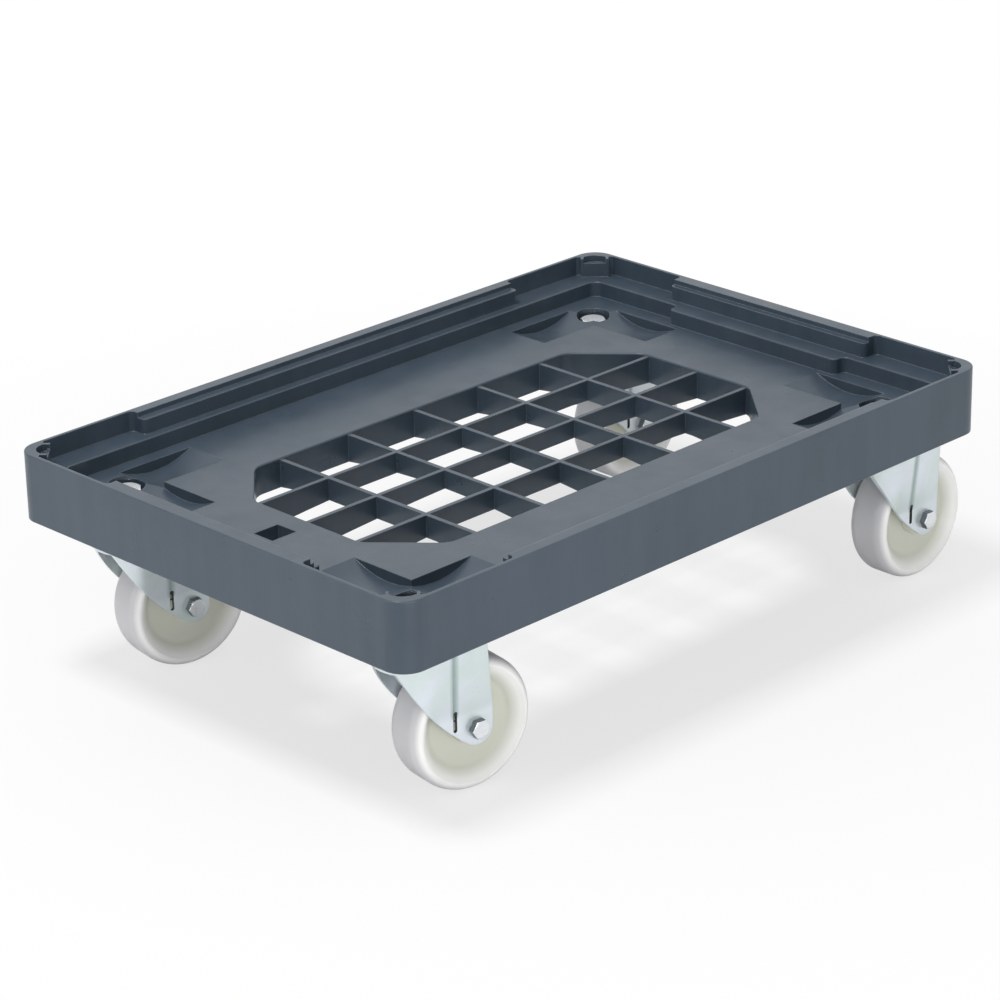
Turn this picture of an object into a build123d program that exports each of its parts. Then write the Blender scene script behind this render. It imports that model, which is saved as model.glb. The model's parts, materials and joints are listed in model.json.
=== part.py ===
from build123d import *
from math import cos, pi, radians, sin, sqrt, tan
import os

# Crate dolly: an open moulded deck with a stepped crate seat, on four swivel castors.
# Millimetres. The origin is on the ground, under the middle of the dolly's outline at rest.
# +X is the long way of the dolly, towards its front; +Y is its left; +Z is up.

# --- deck, overall ---
deck_length = 610.0
deck_width = 410.0
skirt_height = 52.5
skirt_wall = 3.3
deck_corner_radius = 18.0
rim_round = 1.0
ledge_round = 1.0

# --- deck, levels below the rim ---
step_drop = 4.0
ledge_drop = 15.9
floor_drop = 28.6
grid_drop = 1.5

# --- deck, crate seat ---
ledge_margin = 24.4
ledge_jog = 11.0
jog_length = 176.0
jog_round = 5.0
well_corner_radius = 8.0
block_width = 17.4
lip_width_side = 9.8
lip_width_end = 12.0
side_block_length = 394.0
end_block_length = 205.2
block_round = 4.0
plate = 3.5
web = 3.0

# --- deck, corner fills inside the rim, each with a box on its diagonal ---
corner_fill_reach = 21.5
corner_box_width = 23.0
corner_box_depth = 5.3
corner_box_wall = 2.2
corner_pocket_start = 11.5
corner_pocket_radius = 12.3
corner_pocket_depth = 5.5
corner_panel_drop = 3.9

# --- deck, grid opening ---
opening_length = 411.0
opening_width = 206.0
opening_cut_length = 42.0
opening_cut_width = 47.0
opening_corner_round = 15.0
opening_edge_round = 1.4
grid_columns = 6
grid_rows = 4
rib_thickness = 3.6
rib_foot = 0.5
grid_arch_rise_along = 8.3
grid_arch_rise_across = 7.3

# --- deck, underside ribs ---
stiffener_thickness = 3.0
stiffener_foot = 2.0

# --- deck, hook slot in the rear floor ---
hook_slot_length = 22.5
hook_slot_width = 19.5
hook_slot_shift = 2.5
hook_slot_foot = 6.0

# --- castor places ---
castor_inset_x = 59.0
castor_inset_y = 55.0
castor_height = 128.0
trail = 38.4
rear_swivel_angle = -9.0
front_swivel_angle = 0.0

# --- wheel scoops in the deck top, for a dolly stacked above ---
scoop_offset = 42.0
scoop_half_length = 34.5
scoop_depth = 8.5
scoop_width = 38.0

# --- castor boss and mounting bolt ---
boss_drop = 0.5
boss_radius = 28.0
boss_plate = 10.5
bolt_pocket_diameter = 27.0
mount_bolt_diameter = 12.0
mount_bolt_clearance = 0.3
mount_head_flats = 19.0
mount_head_height = 7.5
mount_nut_height = 9.0
mount_washer_diameter = 24.0
mount_washer_thickness = 2.5
bolt_end_proud = 1.5
thread_fit = 0.05
hex_top_share = 0.97
edge_search = 0.01

# --- castor head: races, balls and king pin ---
upper_ball_diameter = 6.0
upper_track_radius = 18.0
lower_ball_diameter = 5.0
lower_track_radius = 13.5
ball_spacing = 0.6
ball_clearance = 0.15
groove_depth = 0.8
race_plate = 3.0
top_race_radius = 27.0
race_skirt_wall = 1.5
race_skirt_drop = 2.0
lower_race_margin = 4.0
king_pin_wall = 2.2
king_pin_clearance = 0.8
king_pin_fit = 0.05
king_pin_recess = 0.3
king_flange_radius = 12.5
king_flange_height = 2.0

# --- fork ---
leg_thickness = 2.5
wheel_side_clearance = 1.2
leg_foot_radius = 13.0
leg_foot_end = 234.0
leg_flare = 11.5
leg_bend_radius = 30.0
leg_lean = 11.5
leg_edge_bulge = 5.4
heel_reach = 24.5
heel_drop = 10.0
leg_slot_width = 3.0
leg_slot_length = 16.0
leg_slot_rise = 1.5
leg_slot_setback = 18.7
leg_groove_radius = 3.2
leg_groove_depth = 0.7
leg_groove_foot_rise = 11.0
leg_groove_lean = 7.0
crown_thickness = 3.0
crown_drop = 9.0
dome_margin = 4.0

# --- wheel ---
wheel_diameter = 100.0
wheel_width = 34.0
tread_flat_half = 8.0
tread_shoulder_drop = 5.5
wheel_ring_radius = 43.0
wheel_dish_radius = 33.5
wheel_dish_round = 6.0
wheel_web_half = 8.5
hub_radius = 14.5

# --- axle ---
axle_diameter = 8.0
axle_clearance = 0.1
sleeve_wall = 2.0
wheel_running_clearance = 0.05
spacer_diameter = 20.0
spacer_thickness = 1.0
hub_clearance = 0.3
axle_head_flats = 13.0
axle_head_height = 5.3
axle_nut_height = 8.0

# --- worked out from the sizes above: deck ---
skirt_base = castor_height + boss_drop
step_level = skirt_height - step_drop
ledge_level = skirt_height - ledge_drop
floor_level = skirt_height - floor_drop
grid_level = floor_level - grid_drop
pocket_level = boss_plate - boss_drop
castor_x = deck_length / 2 - castor_inset_x
castor_y = deck_width / 2 - castor_inset_y
wheel_radius = wheel_diameter / 2
front_overhang = max(castor_x + trail + wheel_radius - deck_length / 2, 0)
deck_x = -front_overhang / 2
deck_plane = Plane((deck_x, 0, skirt_base))
seat_length = deck_length - 2 * skirt_wall
seat_width = deck_width - 2 * skirt_wall
seat_corner_radius = deck_corner_radius - skirt_wall
well_length = deck_length - 2 * ledge_margin
well_width = deck_width - 2 * ledge_margin
column_pitch = opening_length / grid_columns
row_pitch = opening_width / grid_rows
scoop_radius = (scoop_half_length**2 + scoop_depth**2) / (2 * scoop_depth)
mount_hole_radius = mount_bolt_diameter / 2 + mount_bolt_clearance

# --- worked out from the sizes above: castor, heights above the ground ---
race_under = castor_height - race_plate
dome_top = race_under - upper_ball_diameter + 2 * groove_depth - 2 * ball_clearance
dome_under = dome_top - crown_thickness
crown_top = castor_height - crown_drop
crown_under = crown_top - crown_thickness
dome_radius = upper_track_radius + dome_margin
lower_race_top = dome_under - lower_ball_diameter + 2 * groove_depth - 2 * ball_clearance
lower_race_under = lower_race_top - race_plate
lower_race_radius = lower_track_radius + lower_race_margin
flange_under = lower_race_under - king_flange_height
king_pin_radius = mount_hole_radius + king_pin_wall
mount_nut_under = flange_under - mount_nut_height
upper_ball_count = int(2 * pi * upper_track_radius / (upper_ball_diameter + ball_spacing))
lower_ball_count = int(2 * pi * lower_track_radius / (lower_ball_diameter + ball_spacing))
fork_inner = wheel_width / 2 + wheel_side_clearance
fork_outer = fork_inner + leg_thickness
fork_front = trail + leg_foot_radius
flare_start = wheel_radius + leg_foot_radius
sleeve_radius = axle_diameter / 2 + axle_clearance + sleeve_wall
spacer_bore_radius = sleeve_radius + axle_clearance
hub_half = fork_inner - spacer_thickness - hub_clearance


def castor_plane(side_x, side_y, angle):
    """The ground plane of one castor: origin under its swivel axis, x along its trail."""
    origin = (deck_x + side_x * castor_x, side_y * castor_y, 0)
    direction = (cos(radians(angle)), sin(radians(angle)), 0)
    return Plane(origin, x_dir=direction, z_dir=(0, 0, 1))


castors = {
    "front_left": castor_plane(1, 1, front_swivel_angle),
    "front_right": castor_plane(1, -1, front_swivel_angle),
    "rear_left": castor_plane(-1, 1, rear_swivel_angle),
    "rear_right": castor_plane(-1, -1, rear_swivel_angle),
}


def swivel_axis(castor):
    return Axis(castor.origin, castor.z_dir)


def side_plane(castor):
    """Upright plane through the swivel axis: x along the trail, y up, normal to the right."""
    return Plane(castor.origin, x_dir=castor.x_dir, z_dir=-castor.y_dir)


def axle_plane(castor):
    """The side plane moved to the middle of the axle."""
    middle = castor.origin + castor.x_dir * trail + castor.z_dir * wheel_radius
    return Plane(middle, x_dir=castor.x_dir, z_dir=-castor.y_dir)


def wheel_section_plane(castor):
    """Plane through the axle line: x along the axle, y up from it."""
    middle = axle_plane(castor).origin
    return Plane(middle, x_dir=-castor.y_dir, z_dir=-castor.x_dir)


def finish(part, name):
    """Label one finished piece and write it to its own file."""
    part.label = name
    export_step(part, f"parts/{name}.step")


# ---------------------------------------------------------------- deck
def seat_section():
    """The crate seat above the ledge: inside the rim, around the four side blocks."""
    with BuildSketch(deck_plane.offset(ledge_level)) as seat:
        RectangleRounded(seat_length, seat_width, seat_corner_radius)
        block_y = (deck_width - block_width) / 2
        with Locations((0, block_y), (0, -block_y)):
            Rectangle(side_block_length, block_width, mode=Mode.SUBTRACT)
        block_x = (deck_length - block_width) / 2
        with Locations((block_x, 0), (-block_x, 0)):
            Rectangle(block_width, end_block_length, mode=Mode.SUBTRACT)
        block_corners = seat.vertices().filter_by(
            lambda v: abs(abs(v.X) - side_block_length / 2) < edge_search
            or abs(abs(v.Y) - end_block_length / 2) < edge_search
        )
        fillet(block_corners, block_round)
    return seat.sketch


def step_section():
    """The strips between each block's lip and its inner face, cut down to the step."""
    with BuildSketch(deck_plane.offset(step_level)) as steps:
        side_strip = block_width - lip_width_side
        side_y = deck_width / 2 - lip_width_side - side_strip / 2
        with Locations((0, side_y), (0, -side_y)):
            Rectangle(side_block_length, side_strip)
        end_strip = block_width - lip_width_end
        end_x = deck_length / 2 - lip_width_end - end_strip / 2
        with Locations((end_x, 0), (-end_x, 0)):
            Rectangle(end_strip, end_block_length)
    return steps.sketch


def well_section(level, margin):
    """The well inside the ledge at a level, grown on every side by a margin."""
    with BuildSketch(deck_plane.offset(level)) as well:
        RectangleRounded(
            well_length + 2 * margin, well_width + 2 * margin, well_corner_radius + margin
        )
        jog = ledge_jog
        jog_x = well_length / 2 + margin - jog / 2
        with Locations((jog_x, 0), (-jog_x, 0)):
            Rectangle(jog, jog_length - 2 * margin, mode=Mode.SUBTRACT)
        inner_corners = well.vertices().filter_by(
            lambda v: abs(abs(v.Y) - jog_length / 2 + margin) < edge_search
        )
        fillet(inner_corners, jog_round)
    return well.sketch


def block_core_section():
    """The hollow inside each side block, seen from below."""
    with BuildSketch(deck_plane.offset(ledge_level - plate)) as cores:
        core_width = block_width - skirt_wall - web
        core_y = deck_width / 2 - skirt_wall - core_width / 2
        with Locations((0, core_y), (0, -core_y)):
            Rectangle(side_block_length - 2 * web, core_width)
        core_x = deck_length / 2 - skirt_wall - core_width / 2
        with Locations((core_x, 0), (-core_x, 0)):
            Rectangle(core_width, end_block_length - 2 * web)
    return cores.sketch


def opening_section(level, margin):
    """The grid opening's outline at a level: a rectangle with its corners cut and rounded."""
    half_x = opening_length / 2
    half_y = opening_width / 2
    cut_x = half_x - opening_cut_length
    cut_y = half_y - opening_cut_width
    with BuildSketch(deck_plane.offset(level)) as opening:
        with BuildLine():
            Polyline(
                (half_x, -cut_y), (half_x, cut_y), (cut_x, half_y), (-cut_x, half_y),
                (-half_x, cut_y), (-half_x, -cut_y), (-cut_x, -half_y), (cut_x, -half_y),
                close=True,
            )
        make_face()
        fillet(opening.vertices(), opening_corner_round)
        if margin:
            offset(amount=margin)
    return opening.sketch


def grid_lines_section(level, thickness, length, width):
    """Crossed ribs on the grid's pitch, over a given length and width."""
    with BuildSketch(deck_plane.offset(level)) as lines:
        with GridLocations(column_pitch, 0, grid_columns - 1, 1):
            Rectangle(thickness, width)
        with GridLocations(0, row_pitch, 1, grid_rows - 1):
            Rectangle(length, thickness)
    return lines.sketch


def arch_section(plane, span, rise):
    """A flat arch standing on the rib foot."""
    with BuildSketch(plane) as section:
        with BuildLine():
            ThreePointArc((-span / 2, rib_foot), (0, rib_foot + rise), (span / 2, rib_foot))
            Polyline((span / 2, rib_foot), (span / 2, -rib_foot), (-span / 2, -rib_foot),
                     (-span / 2, rib_foot))
        make_face()
    return section.sketch


def grid_arch():
    """The space that the grid leaves below it, arched both ways."""
    origin = (deck_x, 0, skirt_base)
    along = Plane(origin, x_dir=(1, 0, 0), z_dir=(0, -1, 0))
    across = Plane(origin, x_dir=(0, 1, 0), z_dir=(1, 0, 0))
    lengthways = arch_section(along, opening_length, grid_arch_rise_along)
    crossways = arch_section(across, opening_width, grid_arch_rise_across)
    with BuildPart() as arch:
        extrude(lengthways, amount=opening_width / 2, both=True)
        extrude(crossways, amount=opening_length / 2, both=True, mode=Mode.INTERSECT)
    return arch.part


def scoop_places():
    """Places and directions of the eight wheel scoops."""
    places = []
    for side_x in (-1, 1):
        for side_y in (-1, 1):
            along = (side_x * (castor_x - scoop_offset), side_y * castor_y, (0, -1, 0), (1, 0, 0))
            across = (side_x * castor_x, side_y * (castor_y - scoop_offset), (1, 0, 0), (0, 1, 0))
            places += [along, across]
    return places


def scoops(radius, width):
    """Lying cylinders over the deck floor, one for each wheel scoop."""
    axis_level = floor_level - scoop_depth + scoop_radius
    with BuildPart() as cylinders:
        for x, y, normal, direction in scoop_places():
            origin = (deck_x + x, y, skirt_base + axis_level)
            with BuildSketch(Plane(origin, x_dir=direction, z_dir=normal)):
                Circle(radius)
            extrude(amount=width / 2, both=True)
    return cylinders.part


def corner_planes(level):
    """A plane in each inner corner of the rim, at a level, with x along the corner's diagonal."""
    planes = []
    for side_x in (-1, 1):
        for side_y in (-1, 1):
            corner = (deck_x + side_x * seat_length / 2, side_y * seat_width / 2,
                      skirt_base + level)
            planes.append(Plane(corner, x_dir=(-side_x, -side_y, 0), z_dir=(0, 0, 1)))
    return planes


def corner_fills():
    """Solid corners up to the rim; a box stands out of each, open at its top."""
    face = corner_fill_reach / sqrt(2)
    box_front = face + corner_box_depth
    overlap = plate / 2
    with BuildPart() as fills:
        for plane in corner_planes(ledge_level - overlap):
            with BuildSketch(plane):
                with BuildLine():
                    Polyline((0, 0), (face, face), (face, -face), close=True)
                make_face()
                with Locations((face, 0)):
                    Rectangle(2 * corner_box_depth, corner_box_width)
            extrude(amount=ledge_drop + overlap)
        # the part inside the rounded skirt
        with BuildSketch(deck_plane):
            RectangleRounded(
                deck_length - skirt_wall, deck_width - skirt_wall,
                deck_corner_radius - skirt_wall / 2,
            )
        extrude(amount=skirt_height, mode=Mode.INTERSECT)
        for plane in corner_planes(skirt_height - corner_pocket_depth):
            pocket_width = corner_box_width - 2 * corner_box_wall
            pocket_front = box_front - corner_box_wall
            with BuildSketch(plane):
                with Locations((corner_pocket_start + corner_pocket_radius, 0)):
                    Circle(corner_pocket_radius)
                with Locations((pocket_front / 2, 0)):
                    Rectangle(pocket_front, pocket_width, mode=Mode.INTERSECT)
            extrude(amount=corner_pocket_depth, mode=Mode.SUBTRACT)
            # lower panel in front of the pocket
            with BuildSketch(plane.offset(corner_pocket_depth - corner_panel_drop)):
                with Locations((box_front, 0)):
                    Rectangle(2 * corner_box_depth, pocket_width)
            extrude(amount=corner_panel_drop, mode=Mode.SUBTRACT)
    return fills.part


def edges_at(deck, level, length, width):
    """The deck's edges that lie at a level, within a rectangle about its middle."""
    height = skirt_base + level
    return (
        deck.edges()
        .filter_by_position(Axis.Z, height - edge_search, height + edge_search)
        .filter_by_position(Axis.X, deck_x - length / 2 - edge_search, deck_x + length / 2 + edge_search)
        .filter_by_position(Axis.Y, -width / 2 - edge_search, width / 2 + edge_search)
    )


def castor_spots():
    """The four swivel axes in the deck's own plane."""
    return [(x, y) for x in (-castor_x, castor_x) for y in (-castor_y, castor_y)]


def build_deck():
    underside_level = floor_level - plate
    scoop_tools = scoops(scoop_radius, scoop_width)
    scoop_backs = scoops(scoop_radius + plate, scoop_width + 2 * web)
    fills = corner_fills()
    arch = grid_arch()
    seat = seat_section()
    steps = step_section()
    well = well_section(floor_level, 0)
    ledge_core_inside = well_section(underside_level, web)
    block_cores = block_core_section()
    hole = opening_section(-boss_drop, 0)
    hole_wall = opening_section(rib_foot, rib_thickness)
    ribs = grid_lines_section(
        rib_foot, rib_thickness, opening_length + rib_thickness, opening_width + rib_thickness
    )
    stiffeners = grid_lines_section(stiffener_foot, stiffener_thickness, seat_length, seat_width)
    slot_x = hook_slot_shift - (opening_length / 2 + well_length / 2 - ledge_jog) / 2

    with BuildPart() as ledge_core:
        with BuildSketch(deck_plane.offset(underside_level)):
            RectangleRounded(seat_length, seat_width, seat_corner_radius)
        extrude(amount=ledge_level - plate - underside_level)
        extrude(ledge_core_inside, amount=ledge_drop, mode=Mode.SUBTRACT)

    with BuildPart() as scoop_shells:
        with BuildSketch(deck_plane):
            RectangleRounded(seat_length, seat_width, seat_corner_radius)
        extrude(amount=floor_level)
        add(scoop_backs, mode=Mode.INTERSECT)

    with BuildPart() as grid:
        add(ribs)
        extrude(amount=grid_level - rib_foot)
        add(opening_section(rib_foot, rib_thickness / 2))
        extrude(amount=grid_level - rib_foot, mode=Mode.INTERSECT)
        add(arch, mode=Mode.SUBTRACT)

    with BuildPart() as deck:
        with BuildSketch(deck_plane):
            RectangleRounded(deck_length, deck_width, deck_corner_radius)
        extrude(amount=skirt_height)
        fillet(deck.faces().sort_by(Axis.Z)[-1].edges(), rim_round)
        extrude(seat, amount=ledge_drop, mode=Mode.SUBTRACT)
        extrude(steps, amount=step_drop, mode=Mode.SUBTRACT)
        extrude(well, amount=floor_drop, mode=Mode.SUBTRACT)
        fillet(edges_at(deck, ledge_level, well_length, well_width), ledge_round)
        # hollow underside
        with BuildSketch(deck_plane):
            RectangleRounded(seat_length, seat_width, seat_corner_radius)
        extrude(amount=underside_level, mode=Mode.SUBTRACT)
        add(ledge_core.part, mode=Mode.SUBTRACT)
        extrude(block_cores, amount=step_level - ledge_level, mode=Mode.SUBTRACT)
        # stiffening ribs, scoop shells, bosses and the slot's collar
        extrude(stiffeners, amount=underside_level - stiffener_foot + plate / 2)
        add(scoop_shells.part)
        with BuildSketch(deck_plane.offset(-boss_drop)):
            with Locations(*castor_spots()):
                Circle(boss_radius)
        extrude(amount=underside_level + boss_drop + plate / 2)
        with BuildSketch(deck_plane.offset(hook_slot_foot)):
            with Locations((slot_x, 0)):
                Rectangle(hook_slot_length + 2 * web, hook_slot_width + 2 * web)
        extrude(amount=underside_level - hook_slot_foot + plate / 2)
        extrude(hole_wall, amount=underside_level - rib_foot + plate / 2)
        # openings through the floor
        extrude(hole, amount=floor_level + boss_drop, mode=Mode.SUBTRACT)
        fillet(edges_at(deck, floor_level, opening_length, opening_width), opening_edge_round)
        with BuildSketch(deck_plane):
            with Locations((slot_x, 0)):
                Rectangle(hook_slot_length, hook_slot_width)
        extrude(amount=floor_level, mode=Mode.SUBTRACT)
        add(scoop_tools, mode=Mode.SUBTRACT)
        with BuildSketch(deck_plane.offset(pocket_level)):
            with Locations(*castor_spots()):
                Circle(bolt_pocket_diameter / 2)
        extrude(amount=floor_drop, mode=Mode.SUBTRACT)
        with BuildSketch(deck_plane.offset(-boss_drop)):
            with Locations(*castor_spots()):
                Circle(mount_hole_radius)
        extrude(amount=boss_plate, mode=Mode.SUBTRACT)
        add(grid.part)
        add(fills)
    return deck.part


# ---------------------------------------------------------------- fasteners
def hex_prism(plane, flats, height):
    """A hexagon with its far end's corners turned off, as on a bolt head or nut."""
    top_radius = hex_top_share * flats / 2
    with BuildPart() as prism:
        with BuildSketch(plane):
            RegularPolygon(flats / 2, 6, major_radius=False)
        extrude(amount=height)
        with Locations(plane.offset(height / 2).location):
            Cone(top_radius + sqrt(3) * height, top_radius, height, mode=Mode.INTERSECT)
    return prism.part


def bolt(head_plane, flats, head_height, diameter, shank_length):
    """A hexagon-head bolt: the head stands on the plane, the shank runs behind it."""
    head = hex_prism(head_plane, flats, head_height)
    with BuildPart() as whole:
        add(head)
        with BuildSketch(head_plane):
            Circle(diameter / 2)
        extrude(amount=-shank_length)
    return whole.part


def nut(plane, flats, height, diameter):
    """A hexagon nut with a plain bore that fits the bolt's thread."""
    body = hex_prism(plane, flats, height)
    with BuildPart() as whole:
        add(body)
        with BuildSketch(plane):
            Circle(diameter / 2 + thread_fit)
        extrude(amount=height, mode=Mode.SUBTRACT)
    return whole.part


def ring(plane, outer_radius, bore_radius, height):
    """A flat ring that stands on the plane."""
    with BuildPart() as whole:
        with BuildSketch(plane):
            Circle(outer_radius)
            Circle(bore_radius, mode=Mode.SUBTRACT)
        extrude(amount=height)
    return whole.part


def group(solids):
    """Several separate, identical solids as one piece."""
    with BuildPart() as whole:
        add(solids)
    return whole.part


def build_mounting_bolt(castor):
    head_plane = castor.offset(skirt_base + pocket_level + mount_washer_thickness)
    shank = skirt_base + pocket_level + mount_washer_thickness - mount_nut_under + bolt_end_proud
    return bolt(head_plane, mount_head_flats, mount_head_height, mount_bolt_diameter, shank)


def build_mounting_washer(castor):
    plane = castor.offset(skirt_base + pocket_level)
    return ring(plane, mount_washer_diameter / 2, mount_hole_radius, mount_washer_thickness)


def build_mounting_nut(castor):
    top = castor.offset(flange_under)
    facing_down = Plane(top.origin, x_dir=castor.x_dir, z_dir=-castor.z_dir)
    return nut(facing_down, mount_head_flats, mount_nut_height, mount_bolt_diameter)


# ---------------------------------------------------------------- castor head
def ball_ring(castor, track_radius, ball_diameter, count, level):
    """A ring of balls about the swivel axis, at one level."""
    with BuildPart() as balls:
        with Locations(castor.offset(level).location):
            with PolarLocations(track_radius, count):
                Sphere(ball_diameter / 2)
    return balls.part


upper_ball_level = (race_under + dome_top) / 2
lower_ball_level = (dome_under + lower_race_top) / 2


def build_top_race(castor):
    with BuildPart() as race:
        with BuildSketch(side_plane(castor)):
            with BuildLine():
                bore = king_pin_radius + king_pin_fit
                skirt_foot = race_under - race_skirt_drop
                Polyline(
                    (bore, race_under), (bore, castor_height), (top_race_radius, castor_height),
                    (top_race_radius, skirt_foot), (top_race_radius - race_skirt_wall, skirt_foot),
                    (top_race_radius - race_skirt_wall, race_under), close=True,
                )
            make_face()
            with Locations((upper_track_radius, upper_ball_level)):
                Circle(upper_ball_diameter / 2 + ball_clearance, mode=Mode.SUBTRACT)
        revolve(axis=swivel_axis(castor))
    return race.part


def build_lower_race(castor):
    with BuildPart() as race:
        with BuildSketch(side_plane(castor)):
            bore = king_pin_radius + king_pin_fit
            width = lower_race_radius - bore
            with Locations((bore + width / 2, lower_race_under + race_plate / 2)):
                Rectangle(width, race_plate)
            with Locations((lower_track_radius, lower_ball_level)):
                Circle(lower_ball_diameter / 2 + ball_clearance, mode=Mode.SUBTRACT)
        revolve(axis=swivel_axis(castor))
    return race.part


def build_king_pin(castor):
    with BuildPart() as pin:
        with BuildSketch(castor.offset(flange_under)):
            Circle(king_flange_radius)
        extrude(amount=king_flange_height)
        with BuildSketch(castor.offset(lower_race_under)):
            Circle(king_pin_radius)
        extrude(amount=castor_height - king_pin_recess - lower_race_under)
        with BuildSketch(castor.offset(flange_under)):
            Circle(mount_hole_radius)
        extrude(amount=castor_height - flange_under, mode=Mode.SUBTRACT)
    return pin.part


# ---------------------------------------------------------------- fork
def leg_outline(castor):
    """Side view of a leg from the swivel axis: leaning front, round foot, bowed rear edge."""
    lean = tan(radians(leg_lean))
    top_front = fork_front - (crown_top - flare_start) * lean
    foot_end = (trail + leg_foot_radius * cos(radians(leg_foot_end)),
                wheel_radius + leg_foot_radius * sin(radians(leg_foot_end)))
    foot_low_angle = radians((leg_foot_end + 360) / 2)
    foot_low = (trail + leg_foot_radius * cos(foot_low_angle),
                wheel_radius + leg_foot_radius * sin(foot_low_angle))
    heel = (-heel_reach, crown_under - heel_drop)
    head_back = -fork_front
    with BuildSketch(side_plane(castor)) as outline:
        with BuildLine():
            Polyline((top_front, crown_top), (fork_front, flare_start), (fork_front, wheel_radius))
            ThreePointArc((fork_front, wheel_radius), foot_low, foot_end)
            SagittaArc(foot_end, heel, leg_edge_bulge)
            Polyline(heel, (head_back, crown_under - heel_drop), (head_back, crown_top),
                     (top_front, crown_top))
        make_face()
    return outline.sketch


def channel(castor, half_width, front, top):
    """A block, round about the swivel axis behind and straight in front, flared above the axle."""
    foot_level = wheel_radius - leg_foot_radius
    with BuildPart() as solid:
        for level, height, flare in (
            (foot_level, flare_start - foot_level, 0),
            (flare_start, top - flare_start, -leg_flare),
        ):
            with BuildSketch(castor.offset(level)):
                Circle(half_width)
                with Locations((front / 2, 0)):
                    Rectangle(front, 2 * half_width)
            extrude(amount=height, taper=flare)
        bends = (
            solid.edges()
            .filter_by_position(Axis.Z, flare_start - edge_search, flare_start + edge_search)
            .sort_by(Axis(castor.origin, castor.x_dir))[:-1]
        )
        fillet(bends, leg_bend_radius)
    return solid.part


def leg_grooves(castor):
    """A round-bottomed groove up the outside of each leg, from its slot to the crown."""
    flare = tan(radians(leg_flare))
    lean = tan(radians(leg_groove_lean))
    with BuildPart() as grooves:
        for side in (-1, 1):
            foot = (trail - leg_slot_setback, wheel_radius + leg_groove_foot_rise)
            centre = side * (fork_outer + leg_groove_radius - leg_groove_depth)
            origin = (castor.origin + castor.x_dir * foot[0] + castor.y_dir * centre
                      + castor.z_dir * foot[1])
            upward = castor.z_dir - castor.x_dir * lean + castor.y_dir * side * flare
            with BuildSketch(Plane(origin, z_dir=upward)):
                Circle(leg_groove_radius)
            extrude(amount=castor_height - foot[1])
    return grooves.part


def build_fork(castor):
    outside = channel(castor, fork_outer, fork_front, crown_top)
    inside = channel(castor, fork_inner, 2 * fork_front, crown_under)
    outline = leg_outline(castor)
    grooves = leg_grooves(castor)
    side = side_plane(castor)
    with BuildPart() as fork:
        add(outside)
        add(inside, mode=Mode.SUBTRACT)
        extrude(outline, amount=fork_front, both=True, mode=Mode.INTERSECT)
        add(grooves, mode=Mode.SUBTRACT)
        # raised dome over the lower race
        with BuildSketch(side):
            with BuildLine():
                Polyline(
                    (0, crown_under), (dome_radius + crown_thickness, crown_under),
                    (dome_radius + crown_thickness, crown_top), (dome_radius, dome_top),
                    (0, dome_top), close=True,
                )
            make_face()
        revolve(axis=swivel_axis(castor))
        with BuildSketch(side):
            with BuildLine():
                Polyline(
                    (0, crown_under), (dome_radius, crown_under),
                    (dome_radius - crown_thickness, dome_under), (0, dome_under), close=True,
                )
            make_face()
            with Locations((upper_track_radius, upper_ball_level)):
                Circle(upper_ball_diameter / 2 + ball_clearance)
            with Locations((lower_track_radius, lower_ball_level)):
                Circle(lower_ball_diameter / 2 + ball_clearance)
        revolve(axis=swivel_axis(castor), mode=Mode.SUBTRACT)
        with BuildSketch(castor.offset(crown_under)):
            Circle(king_pin_radius + king_pin_clearance)
        extrude(amount=castor_height - crown_under, mode=Mode.SUBTRACT)
        # axle hole and the slot behind it, through both legs
        with BuildSketch(axle_plane(castor).offset(-fork_outer)):
            Circle(axle_diameter / 2 + axle_clearance)
            with Locations((-leg_slot_setback, leg_slot_rise + leg_slot_length / 2)):
                SlotOverall(leg_slot_length, leg_slot_width, rotation=90)
        extrude(amount=2 * fork_outer, mode=Mode.SUBTRACT)
    return fork.part


# ---------------------------------------------------------------- wheel and axle
def build_wheel(castor):
    half = wheel_width / 2
    shoulder = wheel_radius - tread_shoulder_drop
    middle = axle_plane(castor).origin
    with BuildPart() as wheel:
        with BuildSketch(wheel_section_plane(castor)) as profile:
            with BuildLine():
                bore = sleeve_radius + wheel_running_clearance
                Polyline((0, bore), (hub_half, bore), (hub_half, hub_radius),
                         (wheel_web_half, hub_radius), (wheel_web_half, wheel_dish_radius),
                         (half, wheel_ring_radius), (half, shoulder))
                TangentArc((tread_flat_half, wheel_radius), (half, shoulder), tangent=(1, 0))
                Line((tread_flat_half, wheel_radius), (0, wheel_radius))
                mirror(about=Plane.YZ)
            make_face()
            dish_corners = profile.vertices().filter_by(
                lambda v: abs(v.Y - wheel_dish_radius) < edge_search
            )
            fillet(dish_corners, wheel_dish_round)
        revolve(axis=Axis(middle, castor.y_dir))
    return wheel.part


def build_axle_bolt(castor):
    head_plane = axle_plane(castor).offset(fork_outer)
    shank = 2 * fork_outer + axle_nut_height + bolt_end_proud
    return bolt(head_plane, axle_head_flats, axle_head_height, axle_diameter, shank)


def build_axle_nut(castor):
    axle = axle_plane(castor)
    far = axle.offset(-fork_outer)
    facing_left = Plane(far.origin, x_dir=axle.x_dir, z_dir=-axle.z_dir)
    return nut(facing_left, axle_head_flats, axle_nut_height, axle_diameter)


def build_axle_sleeve(castor):
    start = axle_plane(castor).offset(-fork_inner)
    return ring(start, sleeve_radius, sleeve_radius - sleeve_wall, 2 * fork_inner)


def build_spacer_washers(castor):
    axle = axle_plane(castor)
    starts = (axle.offset(-fork_inner), axle.offset(fork_inner - spacer_thickness))
    return group(
        [ring(start, spacer_diameter / 2, spacer_bore_radius, spacer_thickness) for start in starts]
    )


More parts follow.
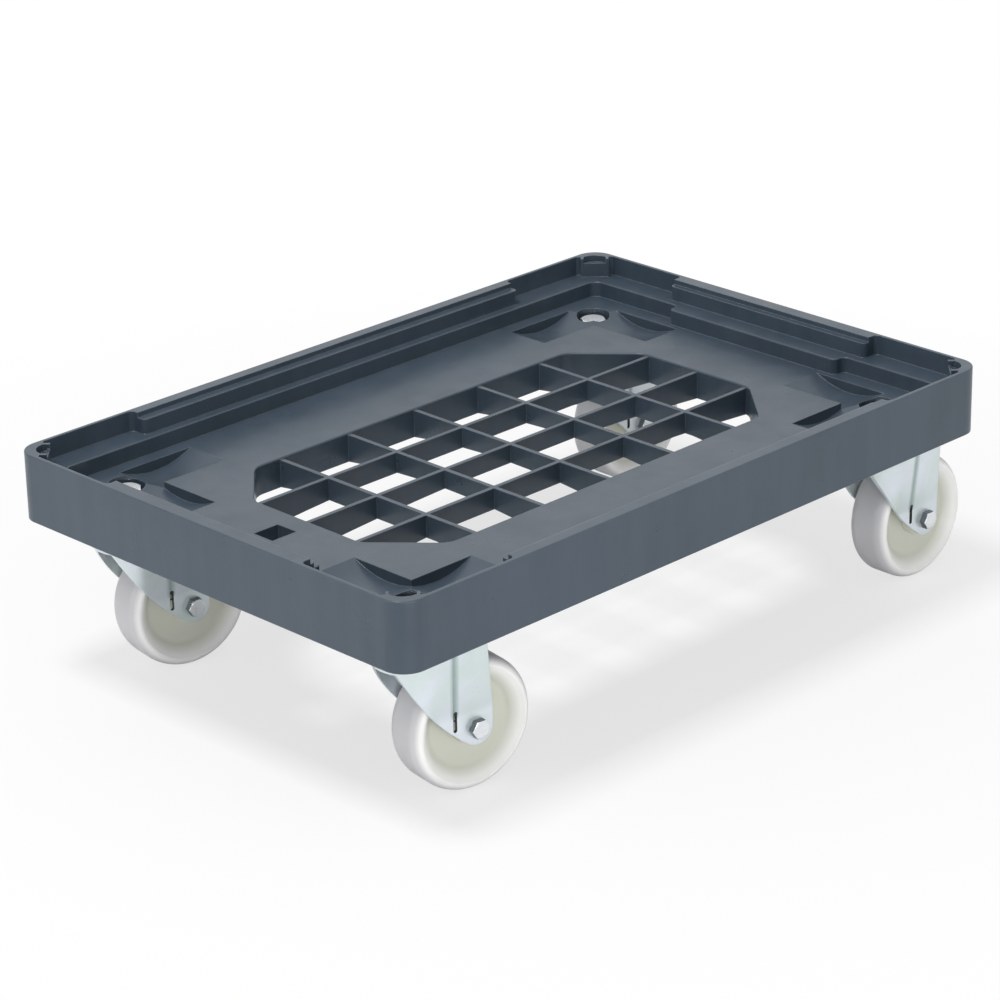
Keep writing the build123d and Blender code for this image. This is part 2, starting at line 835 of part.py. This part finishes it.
# ---------------------------------------------------------------- write the pieces
os.makedirs("parts", exist_ok=True)
finish(build_deck(), "deck")
finish(group([build_mounting_bolt(castor) for castor in castors.values()]), "mounting_bolts")
finish(group([build_mounting_washer(castor) for castor in castors.values()]), "mounting_washers")
finish(group([build_mounting_nut(castor) for castor in castors.values()]), "mounting_nuts")
for corner, castor in castors.items():
    finish(build_top_race(castor), f"{corner}_top_race")
    finish(
        ball_ring(castor, upper_track_radius, upper_ball_diameter, upper_ball_count,
                  upper_ball_level),
        f"{corner}_upper_balls",
    )
    finish(build_fork(castor), f"{corner}_fork")
    finish(
        ball_ring(castor, lower_track_radius, lower_ball_diameter, lower_ball_count,
                  lower_ball_level),
        f"{corner}_lower_balls",
    )
    finish(build_lower_race(castor), f"{corner}_lower_race")
    finish(build_king_pin(castor), f"{corner}_king_pin")
    finish(build_wheel(castor), f"{corner}_wheel")
    finish(build_axle_bolt(castor), f"{corner}_axle_bolt")
    finish(build_axle_nut(castor), f"{corner}_axle_nut")
    finish(build_axle_sleeve(castor), f"{corner}_axle_sleeve")
    finish(build_spacer_washers(castor), f"{corner}_spacer_washers")
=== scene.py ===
import bpy
import json
from math import cos, radians, sin
from mathutils import Matrix, Vector


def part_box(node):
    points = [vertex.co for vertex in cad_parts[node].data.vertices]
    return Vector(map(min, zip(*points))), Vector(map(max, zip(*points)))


# Crate dolly on its floor: the camera, the light and a material for every piece.
# Metres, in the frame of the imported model. Every visible shape is a CAD node.
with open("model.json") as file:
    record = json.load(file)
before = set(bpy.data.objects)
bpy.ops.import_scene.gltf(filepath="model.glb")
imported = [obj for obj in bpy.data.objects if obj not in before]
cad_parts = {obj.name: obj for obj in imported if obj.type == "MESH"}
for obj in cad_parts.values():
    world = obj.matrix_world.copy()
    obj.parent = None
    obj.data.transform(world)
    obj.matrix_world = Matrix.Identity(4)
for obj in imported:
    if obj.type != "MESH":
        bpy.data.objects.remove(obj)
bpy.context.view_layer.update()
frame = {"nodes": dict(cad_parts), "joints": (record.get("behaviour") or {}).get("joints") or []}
nodes = frame["nodes"]

# --- the camera: angles in degrees, lens and sensor in millimetres ---
CAMERA_AZIMUTH = -44.97
CAMERA_ELEVATION = 22.58
CAMERA_ROLL = -0.971
CAMERA_DISTANCE = 2.6686
CAMERA_LENS = 130.38
CAMERA_SENSOR = 36.0
CAMERA_SHIFT = (-0.0305, -0.0022)
CAMERA_REACH = 50
TARGET_FROM_DECK = Vector((-0.0272, -0.0474, 0.0005))  # from the middle of its lower edge

# --- the light: each lamp's position, target, size and power in watts ---
LAMPS = {
    "key": ((-1.25, 0.15, 3.8), (0, 0, 0.1), (1.0, 1.0), 93),
    "fill_left": ((-2.3, 0.5, 0.22), (0, 0, 0.07), (1.6, 0.4), 6),
    "fill_front": ((-0.7, -1.95, 0.2), (0, 0, 0.06), (1.3, 0.36), 12),
}
WORLD_STRENGTH = 0.45

# --- the floor ---
FLOOR_REACH = 6.0
FLOOR_COLOUR = (0.9, 0.9, 0.9, 1)
WHITE_STRENGTH = 1.0
# the camera sees this share of plain white near the dolly, and only white beyond the fade
FLOOR_WHITE_SHARE = 0.68
FLOOR_FADE = (0.34, 0.8)

# --- the castors ---
CASTORS = ("front_left", "front_right", "rear_left", "rear_right")
UP = Vector((0, 0, 1))
# a fork's slot and the groove above it, where shade is painted, placed from the axle: along the
# fork, and up
SLOT_SETBACK = 0.0187
SLOT_RISE = 0.0095
SLOT_HALF_WIDTH = 0.0015
SLOT_HALF_STRAIGHT = 0.0065
SLOT_EDGE = (0.00004, 0.0002)
GROOVE_FOOT_RISE = 0.011
GROOVE_LEAN = 7.0
GROOVE_EDGE = (0.0006, 0.0042)
GROOVE_FADE = 0.004
# radii on a wheel between which its dish and its tread begin
DISH_EDGE = (0.041, 0.034)
TREAD_EDGE = (0.0455, 0.0485)

BEVEL_SAMPLES = 6


# ---------------------------------------------------------------- camera and stage
def place_camera():
    """The camera looks at a point beside the deck's lower edge, with a slight roll."""
    low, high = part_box("deck")
    middle = (low + high) / 2
    target = Vector((middle.x, middle.y, low.z)) + TARGET_FROM_DECK
    turn = Matrix.Rotation(radians(CAMERA_AZIMUTH), 4, "Z")
    tilt = Matrix.Rotation(radians(90 - CAMERA_ELEVATION), 4, "X")
    roll = Matrix.Rotation(radians(CAMERA_ROLL), 4, "Z")
    away = Matrix.Translation((0, 0, CAMERA_DISTANCE))
    data = bpy.data.cameras.new("camera")
    data.lens = CAMERA_LENS
    data.sensor_width = CAMERA_SENSOR
    data.shift_x, data.shift_y = CAMERA_SHIFT
    data.clip_end = CAMERA_REACH
    camera = bpy.data.objects.new("camera", data)
    camera.matrix_world = Matrix.Translation(target) @ turn @ tilt @ away @ roll
    bpy.context.scene.collection.objects.link(camera)
    bpy.context.scene.camera = camera


def add_lamp(name, position, target, size, power):
    """A soft lamp, as wide and high as its size says, that points at a target."""
    data = bpy.data.lights.new(name, "AREA")
    data.shape = "RECTANGLE"
    data.size, data.size_y = size
    data.energy = power
    lamp = bpy.data.objects.new(name, data)
    lamp.location = position
    aim = Vector(target) - Vector(position)
    lamp.rotation_euler = aim.to_track_quat("-Z", "Y").to_euler()
    bpy.context.scene.collection.objects.link(lamp)


def light_scene():
    """A pale surround, seen as white in gloss, a key lamp overhead and two low, weak fills."""
    world = bpy.data.worlds.new("surround")
    bpy.context.scene.world = world
    world.use_nodes = True
    tree = world.node_tree
    background = tree.nodes["Background"]
    path = tree.nodes.new("ShaderNodeLightPath")
    shown = path.outputs["Is Camera Ray"]
    for ray in ("Is Transmission Ray", "Is Glossy Ray"):
        either = tree.nodes.new("ShaderNodeMath")
        either.operation = "MAXIMUM"
        tree.links.new(shown, either.inputs[0])
        tree.links.new(path.outputs[ray], either.inputs[1])
        shown = either.outputs[0]
    strength = tree.nodes.new("ShaderNodeMapRange")
    strength.inputs["To Min"].default_value = WORLD_STRENGTH
    strength.inputs["To Max"].default_value = WHITE_STRENGTH
    tree.links.new(shown, strength.inputs["Value"])
    tree.links.new(strength.outputs["Result"], background.inputs["Strength"])
    background.inputs["Color"].default_value = (1, 1, 1, 1)
    for name, settings in LAMPS.items():
        add_lamp(name, *settings)


def floor_material():
    """Matt white, mixed for the camera with plain white that grows with the distance."""
    material = bpy.data.materials.new("floor_white")
    material.use_nodes = True
    tree = material.node_tree
    surface = tree.nodes["Principled BSDF"]
    surface.inputs["Base Color"].default_value = FLOOR_COLOUR
    surface.inputs["Roughness"].default_value = 1.0
    surface.inputs["Specular IOR Level"].default_value = 0.0
    glow = tree.nodes.new("ShaderNodeEmission")
    glow.inputs["Strength"].default_value = WHITE_STRENGTH
    place = tree.nodes.new("ShaderNodeTexCoord")
    distance = tree.nodes.new("ShaderNodeVectorMath")
    distance.operation = "LENGTH"
    tree.links.new(place.outputs["Object"], distance.inputs[0])
    whiter = tree.nodes.new("ShaderNodeMapRange")
    whiter.inputs["From Min"].default_value = FLOOR_FADE[0]
    whiter.inputs["From Max"].default_value = FLOOR_FADE[1]
    whiter.inputs["To Min"].default_value = FLOOR_WHITE_SHARE
    whiter.inputs["To Max"].default_value = 1.0
    tree.links.new(distance.outputs["Value"], whiter.inputs["Value"])
    path = tree.nodes.new("ShaderNodeLightPath")
    share = tree.nodes.new("ShaderNodeMath")
    share.operation = "MULTIPLY"
    tree.links.new(path.outputs["Is Camera Ray"], share.inputs[0])
    tree.links.new(whiter.outputs["Result"], share.inputs[1])
    mix = tree.nodes.new("ShaderNodeMixShader")
    tree.links.new(share.outputs[0], mix.inputs["Fac"])
    tree.links.new(surface.outputs[0], mix.inputs[1])
    tree.links.new(glow.outputs[0], mix.inputs[2])
    tree.links.new(mix.outputs[0], tree.nodes["Material Output"].inputs["Surface"])
    return material


def lay_floor():
    """A white floor that keeps the dolly's shadow and fades into the white world."""
    mesh = bpy.data.meshes.new("floor")
    r = FLOOR_REACH
    mesh.from_pydata([(-r, -r, 0), (r, -r, 0), (r, r, 0), (-r, r, 0)], [], [(0, 1, 2, 3)])
    floor = bpy.data.objects.new("floor", mesh)
    bpy.context.scene.collection.objects.link(floor)
    floor.data.materials.append(floor_material())


# ---------------------------------------------------------------- material building blocks
class Surface:
    """One procedural material, with short calls for the nodes that it is built from."""

    def __init__(self, name):
        self.material = bpy.data.materials.new(name)
        self.material.use_nodes = True
        self.tree = self.material.node_tree
        self.shader = self.tree.nodes["Principled BSDF"]
        coordinates = self.tree.nodes.new("ShaderNodeTexCoord")
        self.place = coordinates.outputs["Object"]
        self.normal = coordinates.outputs["Normal"]

    def set(self, **values):
        """Constant inputs of the shader; underscores stand for spaces."""
        for name, value in values.items():
            self.shader.inputs[name.replace("_", " ")].default_value = value

    def link(self, socket, name):
        self.tree.links.new(socket, self.shader.inputs[name])

    def feed(self, node, values):
        """A node's first inputs, each from a socket or a constant."""
        for index, value in enumerate(values):
            if isinstance(value, bpy.types.NodeSocket):
                self.tree.links.new(value, node.inputs[index])
            else:
                node.inputs[index].default_value = value

    def math(self, operation, *values):
        node = self.tree.nodes.new("ShaderNodeMath")
        node.operation = operation
        self.feed(node, values)
        return node.outputs[0]

    def vector_math(self, operation, *values):
        """The result is a number for a dot product or a length, otherwise a vector."""
        node = self.tree.nodes.new("ShaderNodeVectorMath")
        node.operation = operation
        self.feed(node, values)
        is_number = operation in ("DOT_PRODUCT", "LENGTH")
        return node.outputs["Value" if is_number else "Vector"]

    def stretched(self, scale):
        """The object's coordinates, stretched along an axis where a scale is small."""
        node = self.tree.nodes.new("ShaderNodeMapping")
        node.inputs["Scale"].default_value = scale
        self.tree.links.new(self.place, node.inputs["Vector"])
        return node.outputs["Vector"]

    def noise(self, scale, detail=3.0, roughness=0.5, place=None):
        node = self.tree.nodes.new("ShaderNodeTexNoise")
        node.inputs["Scale"].default_value = scale
        node.inputs["Detail"].default_value = detail
        node.inputs["Roughness"].default_value = roughness
        self.tree.links.new(place or self.place, node.inputs["Vector"])
        return node.outputs["Fac"]

    def spread(self, value, from_low, from_high, to_low=0, to_high=1):
        """A value mapped from one range to another, clamped."""
        node = self.tree.nodes.new("ShaderNodeMapRange")
        for name, number in (("From Min", from_low), ("From Max", from_high),
                             ("To Min", to_low), ("To Max", to_high)):
            node.inputs[name].default_value = number
        self.tree.links.new(value, node.inputs["Value"])
        return node.outputs["Result"]

    def blend(self, share, first, second):
        """A colour between two others; each is a colour or a socket."""
        node = self.tree.nodes.new("ShaderNodeMix")
        node.data_type = "RGBA"
        for name, value in (("A", first), ("B", second)):
            socket = [s for s in node.inputs if s.name == name and s.type == "RGBA"][0]
            if isinstance(value, tuple):
                socket.default_value = (*value, 1)
            else:
                self.tree.links.new(value, socket)
        factor = [s for s in node.inputs if s.name == "Factor" and s.type == "VALUE"][0]
        self.tree.links.new(share, factor)
        return [s for s in node.outputs if s.type == "RGBA"][0]

    def tint(self, mask, amount, base, paint):
        """A base colour with some paint where a mask is 1."""
        return self.blend(self.math("MULTIPLY", mask, amount), base, paint)

    def distance_along(self, direction, origin):
        """How far a point lies from an origin, along a direction."""
        offset = self.vector_math("SUBTRACT", self.place, origin)
        return self.vector_math("DOT_PRODUCT", offset, direction)

    def distance_from_axis(self, origin, direction):
        offset = self.vector_math("SUBTRACT", self.place, origin)
        return self.vector_math("LENGTH", self.vector_math("CROSS_PRODUCT", offset, direction))

    def rounded_normal(self, radius):
        """The normal as if edges were rounded by a radius."""
        bevel = self.tree.nodes.new("ShaderNodeBevel")
        bevel.samples = BEVEL_SAMPLES
        bevel.inputs["Radius"].default_value = radius
        return bevel.outputs["Normal"]

    def edge_wear_and_highlight_mask(self, radius):
        """1 on sharp outer and inner edges, 0 on flat faces: a mask for painted edge highlights and
        rub wear.
        """
        geometry = self.tree.nodes.new("ShaderNodeNewGeometry")
        agreement = self.vector_math("DOT_PRODUCT", self.rounded_normal(radius),
                                     geometry.outputs["Normal"])
        return self.spread(agreement, 0.98, 0.75)

    def bump(self, height, strength, distance, radius):
        """A bump over edges that look rounded by a radius."""
        node = self.tree.nodes.new("ShaderNodeBump")
        node.inputs["Strength"].default_value = strength
        node.inputs["Distance"].default_value = distance
        self.tree.links.new(height, node.inputs["Height"])
        self.tree.links.new(self.rounded_normal(radius), node.inputs["Normal"])
        self.link(node.outputs["Normal"], "Normal")


def colour(red, green, blue):
    """A colour given as it looks on a screen, 0 to 255, as the linear values a node takes."""
    def linear(value):
        share = value / 255
        return share / 12.92 if share <= 0.04045 else ((share + 0.055) / 1.055) ** 2.4
    return linear(red), linear(green), linear(blue)


# ---------------------------------------------------------------- materials
# a pair of colours is the two ends of the cloudy variation
DECK_GREY = (colour(59, 72, 84), colour(65, 78, 91))
DECK_STREAK = colour(75, 88, 100)
# paler edges: painted highlight, partly rub wear
DECK_EDGE_WEAR_AND_HIGHLIGHT = colour(138, 148, 159)
DECK_SCUFF = colour(150, 158, 165)
NYLON_RING = (colour(252, 252, 250), colour(249, 249, 247))
NYLON_TREAD = colour(210, 210, 213)
# painted shade in a wheel's dish: darker and yellower
NYLON_DISH_PAINTED_SHADE = colour(210, 211, 199)
NYLON_SCUFF = colour(208, 207, 204)
PLATING = (colour(227, 234, 242), colour(216, 228, 227))
PLATING_SPOT = colour(176, 184, 188)
# paler zinc edges: painted highlight, partly rub wear
PLATING_EDGE_WEAR_AND_HIGHLIGHT = colour(243, 246, 247)
FASTENER_PLATING = (colour(234, 237, 240), colour(222, 226, 230))
TURNED_STEEL = (colour(176, 176, 174), colour(150, 150, 150))
BALL_STEEL = (colour(214, 214, 216), colour(200, 200, 204))
# painted shade in a fork's groove and in its slot
GROOVE_PAINTED_SHADE = colour(142, 166, 160)
SLOT_PAINTED_SHADE = colour(58, 66, 70)
# painted shade on the sides of bolt and nut heads
MOUNTING_FACETS_PAINTED_SHADE = colour(166, 172, 178)
AXLE_FACETS_PAINTED_SHADE = colour(104, 110, 113)


def deck_plastic():
    """Bluish grey moulded plastic: faint flow clouds, a fine grain and paler edges, a painted
    highlight that is partly rub wear.
    """
    skin = Surface("deck_plastic")
    clouds = skin.spread(skin.noise(9, 4, 0.55), 0.35, 0.65)
    flow = skin.noise(60, 3, 0.6, place=skin.stretched((1, 1, 0.12)))
    streaks = skin.spread(flow, 0.4, 0.7)
    base = skin.blend(clouds, *DECK_GREY)
    base = skin.tint(streaks, 0.3, base, DECK_STREAK)
    # paler edges where a bevel finds them: painted highlight, partly rub wear
    rubbed_and_highlit_edges = skin.math("MULTIPLY", skin.edge_wear_and_highlight_mask(0.0011),
                       skin.spread(skin.noise(140), 0.3, 0.62, 0.2, 1))
    base = skin.tint(rubbed_and_highlit_edges, 0.55, base, DECK_EDGE_WEAR_AND_HIGHLIGHT)
    scuffs = skin.math("MULTIPLY", skin.spread(skin.noise(170), 0.7, 0.78),
                       skin.spread(skin.noise(11, 2), 0.6, 0.68))
    base = skin.tint(scuffs, 0.3, base, DECK_SCUFF)
    skin.link(base, "Base Color")
    skin.link(skin.spread(skin.noise(35, 4), 0.3, 0.7, 0.27, 0.39), "Roughness")
    skin.set(Specular_IOR_Level=0.5, IOR=1.5)
    grain = skin.math("ADD", skin.math("MULTIPLY", skin.noise(900, 2), 0.5), skin.noise(120))
    skin.bump(grain, 0.12, 0.0006, radius=0.0009)
    return skin.material


def wheel_nylon(name, centre, axis):
    """Off-white cast nylon with painted shade in its dish, darker and yellower, and a slightly
    scuffed grey tread.
    """
    skin = Surface(name)
    radius = skin.distance_from_axis(centre, axis)
    dish = skin.spread(radius, *DISH_EDGE)
    tread = skin.spread(radius, *TREAD_EDGE)
    clouds = skin.spread(skin.noise(45, 4), 0.35, 0.65)
    base = skin.blend(tread, skin.blend(clouds, *NYLON_RING), NYLON_TREAD)
    # painted shade: the dish darker and yellower than the ring
    base = skin.blend(dish, base, NYLON_DISH_PAINTED_SHADE)
    scuffs = skin.math("MULTIPLY", tread, skin.spread(skin.noise(260, 4, 0.7), 0.5, 0.75))
    base = skin.tint(scuffs, 0.35, base, NYLON_SCUFF)
    skin.link(base, "Base Color")
    skin.link(skin.spread(skin.noise(80), 0.3, 0.7, 0.34, 0.5), "Roughness")
    skin.set(Subsurface_Weight=0.5, Subsurface_Scale=0.008, Subsurface_Radius=(1, 1, 0.95))
    skin.bump(skin.noise(500), 0.05, 0.0003, radius=0.0008)
    return skin.material


def zinc(name, plating, roughness, grain_scale, shade=None, metallic=0.85):
    """Zinc-plated steel: cloudy plating with a cool tint, fine drawn marks, paler edges as painted
    highlight and rub wear, and painted shade in places.
    """
    skin = Surface(name)
    clouds = skin.spread(skin.noise(34), 0.36, 0.64)
    base = skin.blend(clouds, *plating)
    spots = skin.spread(skin.noise(420, 2), 0.64, 0.76, 0, 0.22)
    base = skin.blend(spots, base, PLATING_SPOT)
    # paler edges: painted highlight, partly rub wear
    base = skin.tint(skin.edge_wear_and_highlight_mask(0.0006), 0.4, base, PLATING_EDGE_WEAR_AND_HIGHLIGHT)
    # painted shade, where a function for it is given
    if shade:
        base = shade(skin, base)
    skin.link(base, "Base Color")
    skin.set(Metallic=metallic)
    gloss = skin.spread(skin.noise(90), 0.3, 0.7, roughness, roughness + 0.08)
    skin.link(gloss, "Roughness")
    marks = skin.noise(grain_scale, 2, place=skin.stretched((1, 1, 0.1)))
    skin.bump(marks, 0.03, 0.0001, radius=0.0006)
    return skin.material


def fork_painted_shade(axle, along):
    """Painted shade: darkens a fork's slot and the groove above it; along is from the swivel axis
    to the axle.
    """
    slot = axle - along * SLOT_SETBACK + UP * SLOT_RISE
    groove = axle - along * SLOT_SETBACK + UP * GROOVE_FOOT_RISE
    lean = radians(GROOVE_LEAN)
    beside_groove = along * cos(lean) + UP * sin(lean)

    def shade(skin, base):
        # painted shade along the groove, above its foot
        off_groove = skin.math("ABSOLUTE", skin.distance_along(beside_groove, groove))
        in_groove = skin.spread(off_groove, *GROOVE_EDGE, 1, 0)
        above_foot = skin.spread(skin.distance_along(UP, groove), 0, GROOVE_FADE)
        base = skin.tint(skin.math("MULTIPLY", in_groove, above_foot), 0.8, base, GROOVE_PAINTED_SHADE)
        # painted shade on the slot's walls
        # the slot's walls lie half its width from the line between the centres of its ends
        off_slot = skin.distance_along(along, slot)
        height = skin.math("ABSOLUTE", skin.distance_along(UP, slot))
        past_end = skin.math("MAXIMUM", skin.math("SUBTRACT", height, SLOT_HALF_STRAIGHT), 0)
        reach = skin.math("SQRT", skin.math("ADD", skin.math("MULTIPLY", off_slot, off_slot),
                                            skin.math("MULTIPLY", past_end, past_end)))
        inside, outside = (SLOT_HALF_WIDTH + margin for margin in SLOT_EDGE)
        return skin.blend(skin.spread(reach, inside, outside, 1, 0), base, SLOT_PAINTED_SHADE)
    return shade


def facet_painted_shade(axis, dark):
    """Painted shade: leaves a head's flat end bright and darkens the sides round its axis."""
    def shade(skin, base):
        facing = skin.math("ABSOLUTE", skin.vector_math("DOT_PRODUCT", skin.normal, axis))
        return skin.blend(skin.spread(facing, 0.15, 0.6, 1, 0), base, dark)
    return shade


def assign(node, material):
    """Gives a CAD node one material on every slot that it has."""
    slots = nodes[node].material_slots
    if not slots:
        nodes[node].data.materials.append(material)
    for slot in slots:
        slot.material = material


def dress():
    """Every node gets its finish."""
    assign("deck", deck_plastic())
    plate = zinc("castor_zinc", PLATING, 0.3, 500)
    # painted shade on the sides of the heads
    fastener = zinc("fastener_zinc", FASTENER_PLATING, 0.24, 700,
                    facet_painted_shade(UP, MOUNTING_FACETS_PAINTED_SHADE), metallic=0.5)
    turned = zinc("turned_steel", TURNED_STEEL, 0.3, 900)
    polished = zinc("ball_steel", BALL_STEEL, 0.08, 900)
    for node in ("mounting_bolts", "mounting_washers", "mounting_nuts"):
        assign(node, fastener)
    joints = {joint["name"]: joint for joint in frame["joints"]}
    for castor in CASTORS:
        spin = joints[f"{castor}_spin"]
        axle = Vector(spin["pos_m"])
        axis = Vector(spin["axis"])
        along = axle - Vector(joints[f"{castor}_swivel"]["pos_m"])
        along = Vector((along.x, along.y, 0)).normalized()
        fork = zinc(f"{castor}_fork_zinc", PLATING, 0.3, 500,
                    fork_painted_shade(axle, along), metallic=0.65)
        axle_plating = zinc(f"{castor}_axle_zinc", FASTENER_PLATING, 0.24, 700,
                            facet_painted_shade(axis, AXLE_FACETS_PAINTED_SHADE))
        finishes = {
            fork: ("fork",),
            axle_plating: ("axle_bolt", "axle_nut"),
            plate: ("top_race", "lower_race", "king_pin"),
            turned: ("axle_sleeve", "spacer_washers"),
            polished: ("upper_balls", "lower_balls"),
            wheel_nylon(f"{castor}_nylon", axle, axis): ("wheel",),
        }
        for material, pieces in finishes.items():
            for piece in pieces:
                assign(f"{castor}_{piece}", material)


place_camera()
light_scene()
lay_floor()
dress()
bpy.context.scene.view_settings.view_transform = "Standard"
